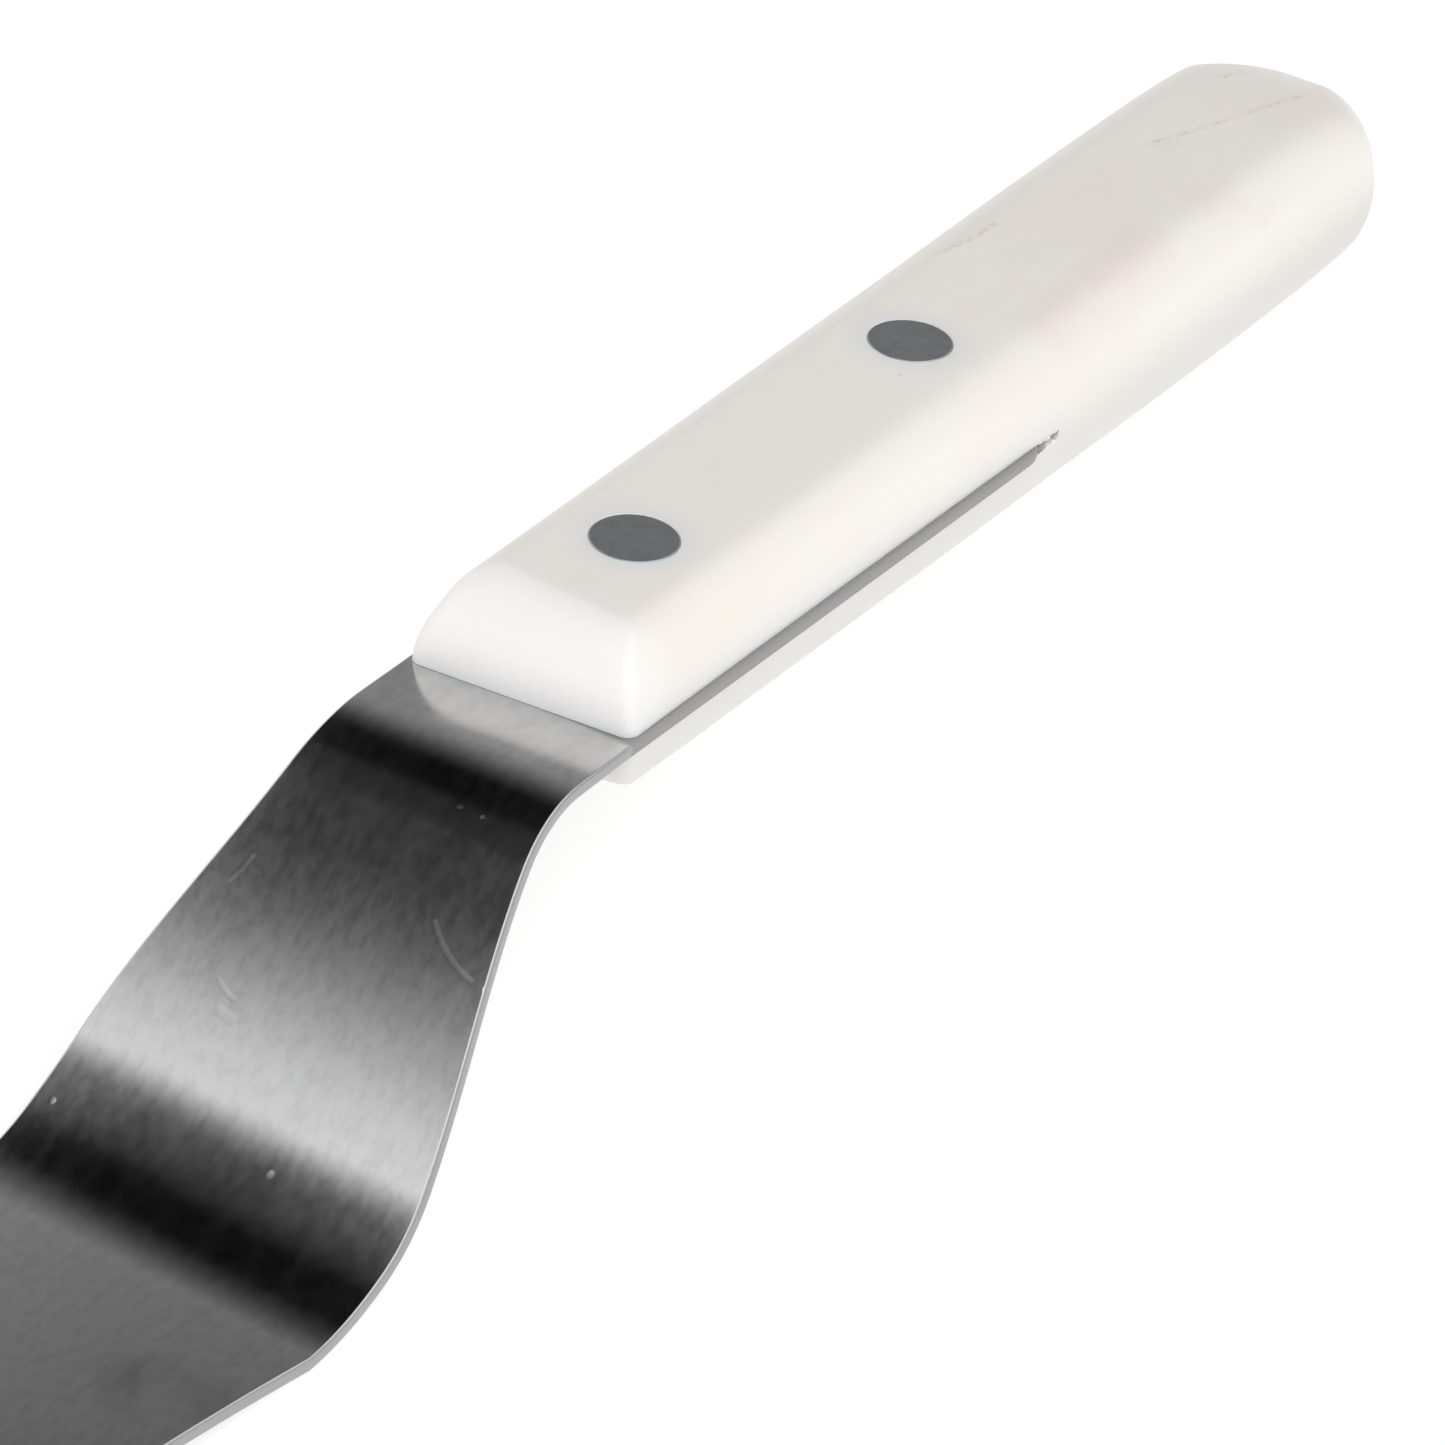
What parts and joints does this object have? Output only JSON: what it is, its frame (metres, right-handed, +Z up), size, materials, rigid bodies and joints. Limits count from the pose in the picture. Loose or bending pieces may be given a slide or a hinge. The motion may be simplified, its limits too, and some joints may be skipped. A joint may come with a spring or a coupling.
{
  "type": "palette knife",
  "caption": "Cranked palette knife: springy tapered steel blade on a half tang, riveted into a slotted bone handle.",
  "frame": {"origin": "on the ground under the middle of the knife's box, the knife resting on its lower bend and its butt", "axes": "+X along the knife towards the blade's tip, +Y across it, +Z up from the ground"},
  "size_m": [0.2254, 0.0272, 0.0242],
  "materials": {
    "steel": "satin, ground lengthwise",
    "bone": "smooth satin bone, off-white with faint tan veins and specks",
    "rivet_steel": "dark, ground flush with the handle",
    "filler": "matt set adhesive with grey grit"
  },
  "bodies": {
    "root": {"blade": "steel", "handle": "bone", "front_rivet_tube": "rivet_steel", "front_rivet_shank": "rivet_steel", "rear_rivet_tube": "rivet_steel", "rear_rivet_shank": "rivet_steel", "slot_filler": "filler"}
  },
  "joints": []
}
